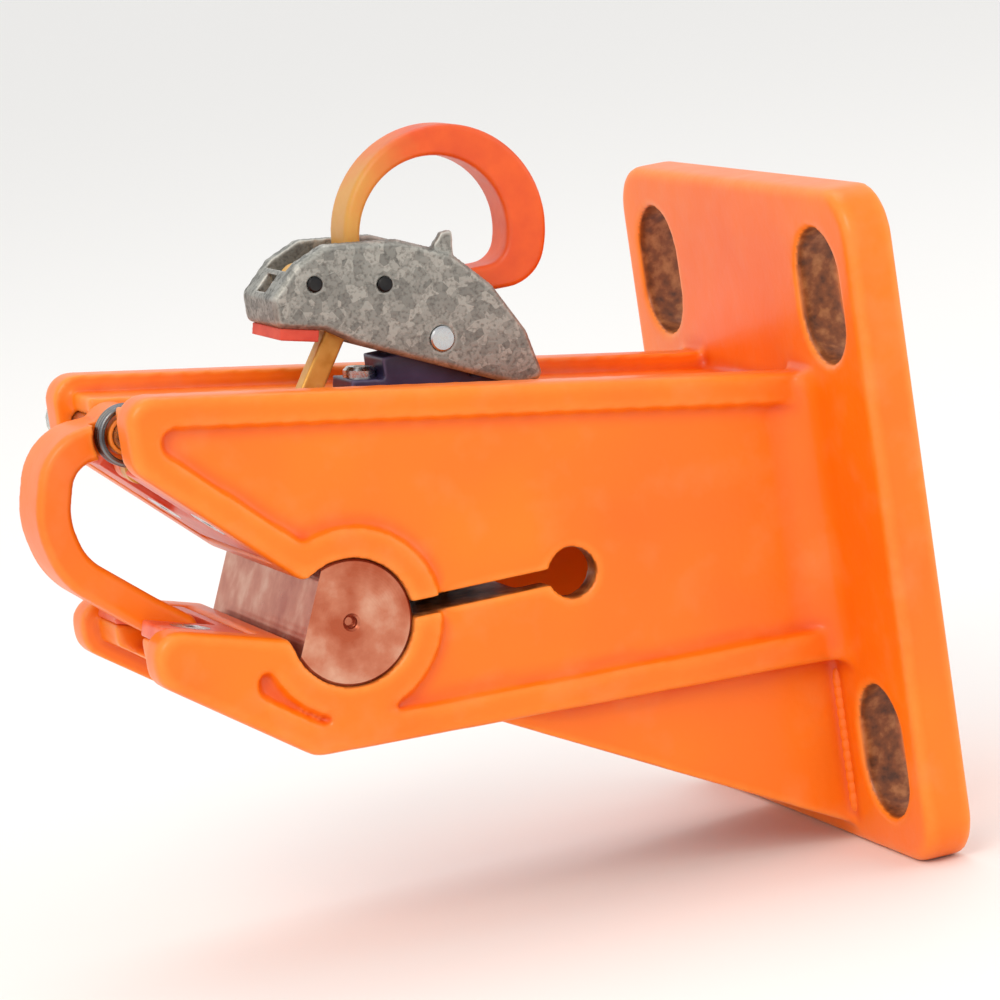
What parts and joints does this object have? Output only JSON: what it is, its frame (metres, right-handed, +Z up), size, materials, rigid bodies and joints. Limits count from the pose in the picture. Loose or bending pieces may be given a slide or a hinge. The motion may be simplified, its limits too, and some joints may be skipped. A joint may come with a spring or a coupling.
{
  "type": "beam clamp",
  "caption": "Cast beam clamp with a bolt-on base plate, sprung safety gate, release lever, pull ring and a swivelling seat behind its jaws.",
  "frame": {"origin": "centre of the base plate's back face", "axes": "+X out of the base plate's back face, jaws towards -X, +Z up, Y across the clamp"},
  "size_m": [0.1635, 0.116, 0.1567],
  "materials": {
    "orange_paint": "powder coated cast steel",
    "navy_paint": "painted steel block",
    "grey_cast_steel": "knurled and galvanised",
    "zinc_steel": "bright zinc plated",
    "dark_steel": "blackened",
    "spring_steel": "oiled spring wire",
    "yellow_zinc": "yellow passivated zinc",
    "turned_steel": "turned",
    "red_rubber": "matt",
    "red_urethane": "moulded polyurethane",
    "orange_urethane": "moulded polyurethane"
  },
  "bodies": {
    "root": {"base_plate": "orange_paint", "side_cheeks": "orange_paint", "cross_walls": "orange_paint", "gussets": "orange_paint", "gate_hinge_screw": "zinc_steel", "gate_spring": "spring_steel", "lever_pedestal": "navy_paint", "pedestal_screws": "zinc_steel", "upper_jaw_liner": "red_urethane", "lower_jaw_liner": "red_urethane", "upper_jaw_liner_screws": "zinc_steel", "lower_jaw_liner_screws": "zinc_steel", "seat_stop_screw": "dark_steel", "pinch_screw": "zinc_steel", "pinch_washer": "zinc_steel"},
    "gate": {"gate": "orange_paint", "crank_pin": "zinc_steel"},
    "lever": {"release_lever": "grey_cast_steel", "lever_pin": "zinc_steel", "link_pin": "dark_steel", "ring_pin": "dark_steel", "nose_pad": "red_rubber"},
    "link": {"link": "yellow_zinc"},
    "ring": {"pull_ring": "orange_urethane"},
    "seat": {"swivel_seat": "turned_steel"}
  },
  "joints": [
    {"name": "lever_swing", "type": "hinge", "parent": "root", "child": "lever", "pos_m": [-0.0775, 0, 0.048], "axis": [0, -1, 0], "range_deg": [0, 12], "stiffness_Nm_per_rad": 0.25, "springref_deg": -20.05},
    {"name": "gate_swing", "type": "hinge", "parent": "root", "child": "gate", "pos_m": [-0.143, 0, 0.041], "axis": [0, 1, 0], "range_deg": [0, 43]},
    {"name": "link_swing", "type": "hinge", "parent": "lever", "child": "link", "pos_m": [-0.1018, 0, 0.0633], "axis": [0, 1, 0], "range_deg": [0, 18.7]},
    {"name": "ring_swing", "type": "hinge", "parent": "lever", "child": "ring", "pos_m": [-0.0876, 0, 0.0607], "axis": [0, -1, 0], "range_deg": [0, 18]},
    {"name": "seat_swivel", "type": "hinge", "parent": "root", "child": "seat", "pos_m": [-0.111, 0, 0], "axis": [0, 1, 0], "range_deg": [-8, 8]}
  ],
  "couplings": [
    {"joint": "gate_swing", "follows": "lever_swing", "ratio": 3.58},
    {"joint": "link_swing", "follows": "lever_swing", "ratio": 1.555}
  ]
}
